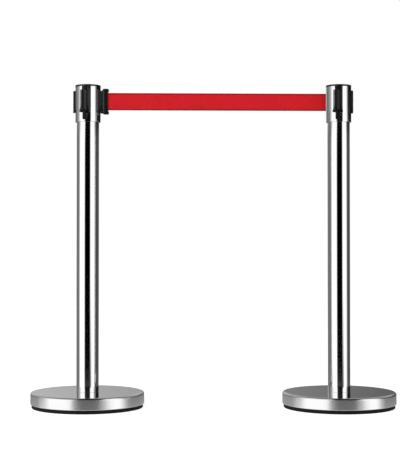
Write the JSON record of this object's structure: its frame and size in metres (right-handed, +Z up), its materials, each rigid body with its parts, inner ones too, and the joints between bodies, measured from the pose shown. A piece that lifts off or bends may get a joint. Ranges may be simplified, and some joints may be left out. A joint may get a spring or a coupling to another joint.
{
  "type": "retractable belt stanchion pair",
  "caption": "Two round chrome posts on weighted domed-edge bases, joined by a flat red belt that reels into one post head and hooks by its clip into a receiver on the other.",
  "frame": {"origin": "on the floor, midway between the axes of the two posts", "axes": "+X from the left post to the right post, +Y away from the viewer, +Z up"},
  "size_m": [1.03, 0.32, 0.91],
  "materials": {
    "polished_steel": "mirror-polished stainless steel",
    "rubber_ring": "matt black rubber, faintly ribbed",
    "weight_iron": "as cast, primed dark grey",
    "turned_steel": "zinc-plated turned steel",
    "spring_steel": "blued spring strip",
    "black_plastic": "fine-grained black moulding",
    "black_gloss": "smooth black moulding, semi-gloss",
    "black_screws": "black oxide",
    "red_belt": "woven polyester webbing, fine rib, bound edges"
  },
  "bodies": {
    "right_post": {"right_floor_ring": "rubber_ring", "right_base_weight": "weight_iron", "right_base_cover": "polished_steel", "right_foot_spigot": "turned_steel", "right_tube": "polished_steel", "right_tie_rod": "turned_steel", "right_tie_rod_nuts": "turned_steel", "right_tie_rod_washers": "turned_steel", "right_head_core": "black_plastic", "right_head_sleeve": "polished_steel", "right_outlet_bezel": "black_plastic", "right_top_cap": "black_gloss", "right_cap_screws": "black_screws", "right_cassette_frame": "turned_steel", "right_spring_cup": "turned_steel", "right_power_spring": "spring_steel", "right_spindle": "turned_steel", "right_spindle_nut": "turned_steel", "right_receiver_rear": "black_plastic", "right_receiver_side_a": "black_plastic", "right_receiver_side_b": "black_plastic", "right_belt_tape": "red_belt"},
    "right_spool": {"right_spool": "black_plastic", "right_belt_roll": "red_belt"},
    "right_guide_roller": {"right_guide_roller": "turned_steel"},
    "right_clip": {"right_clip_body": "black_gloss", "right_clip_cover": "black_gloss", "right_clip_pin": "turned_steel", "right_clip_screws": "black_screws"},
    "left_post": {"left_floor_ring": "rubber_ring", "left_base_weight": "weight_iron", "left_base_cover": "polished_steel", "left_foot_spigot": "turned_steel", "left_tube": "polished_steel", "left_tie_rod": "turned_steel", "left_tie_rod_nuts": "turned_steel", "left_tie_rod_washers": "turned_steel", "left_head_core": "black_plastic", "left_head_sleeve": "polished_steel", "left_outlet_bezel": "black_plastic", "left_top_cap": "black_gloss", "left_cap_screws": "black_screws", "left_cassette_frame": "turned_steel", "left_spring_cup": "turned_steel", "left_power_spring": "spring_steel", "left_spindle": "turned_steel", "left_spindle_nut": "turned_steel", "left_receiver_rear": "black_plastic", "left_receiver_side_a": "black_plastic", "left_receiver_side_b": "black_plastic", "left_belt_tape": "red_belt"},
    "left_spool": {"left_spool": "black_plastic", "left_belt_roll": "red_belt"},
    "left_guide_roller": {"left_guide_roller": "turned_steel"},
    "left_clip": {"left_clip_body": "black_gloss", "left_clip_cover": "black_gloss", "left_clip_pin": "turned_steel", "left_clip_screws": "black_screws"}
  },
  "joints": [
    {"name": "post_spacing", "type": "slide", "parent": "right_post", "child": "left_post", "axis": [-1, 0, 0], "range_m": [-0.33, 1.25], "deforming": ["right_belt_tape"]},
    {"name": "clip_lift", "type": "slide", "parent": "left_post", "child": "right_clip", "axis": [0, 0, 1], "range_m": [0, 0.057]},
    {"name": "left_belt_pull", "type": "slide", "parent": "left_post", "child": "left_clip", "axis": [0.1736, 0.9848, 0], "range_m": [0, 1.85], "stiffness_N_per_m": 3, "springref_m": -1.5, "deforming": ["left_belt_tape"]},
    {"name": "right_spool_spin", "type": "hinge", "parent": "right_post", "child": "right_spool", "pos_m": [0.355, 0, 0.8615], "axis": [0, 0, 1], "range_deg": [-1113.24, 4214.03], "deforming": ["right_power_spring"]},
    {"name": "left_spool_spin", "type": "hinge", "parent": "left_post", "child": "left_spool", "pos_m": [-0.355, 0, 0.8615], "axis": [0, 0, 1], "range_deg": [-1, 5395.2], "deforming": ["left_power_spring"]},
    {"name": "right_roller_spin", "type": "hinge", "parent": "right_post", "child": "right_guide_roller", "pos_m": [0.33034, 0.00699, 0.8615], "axis": [0, 0, 1], "range_deg": [-32555.39, 8595.36]},
    {"name": "left_roller_spin", "type": "hinge", "parent": "left_post", "child": "left_guide_roller", "pos_m": [-0.34801, 0.02466, 0.8615], "axis": [0, 0, 1], "range_deg": [-48181.49, 1]}
  ],
  "couplings": [
    {"joint": "right_spool_spin", "follows": "post_spacing", "rad_per_m": 58.825},
    {"joint": "right_roller_spin", "follows": "post_spacing", "rad_per_m": -454.55},
    {"joint": "left_spool_spin", "follows": "left_belt_pull", "rad_per_m": 50.89},
    {"joint": "left_roller_spin", "follows": "left_belt_pull", "rad_per_m": -454.55}
  ]
}
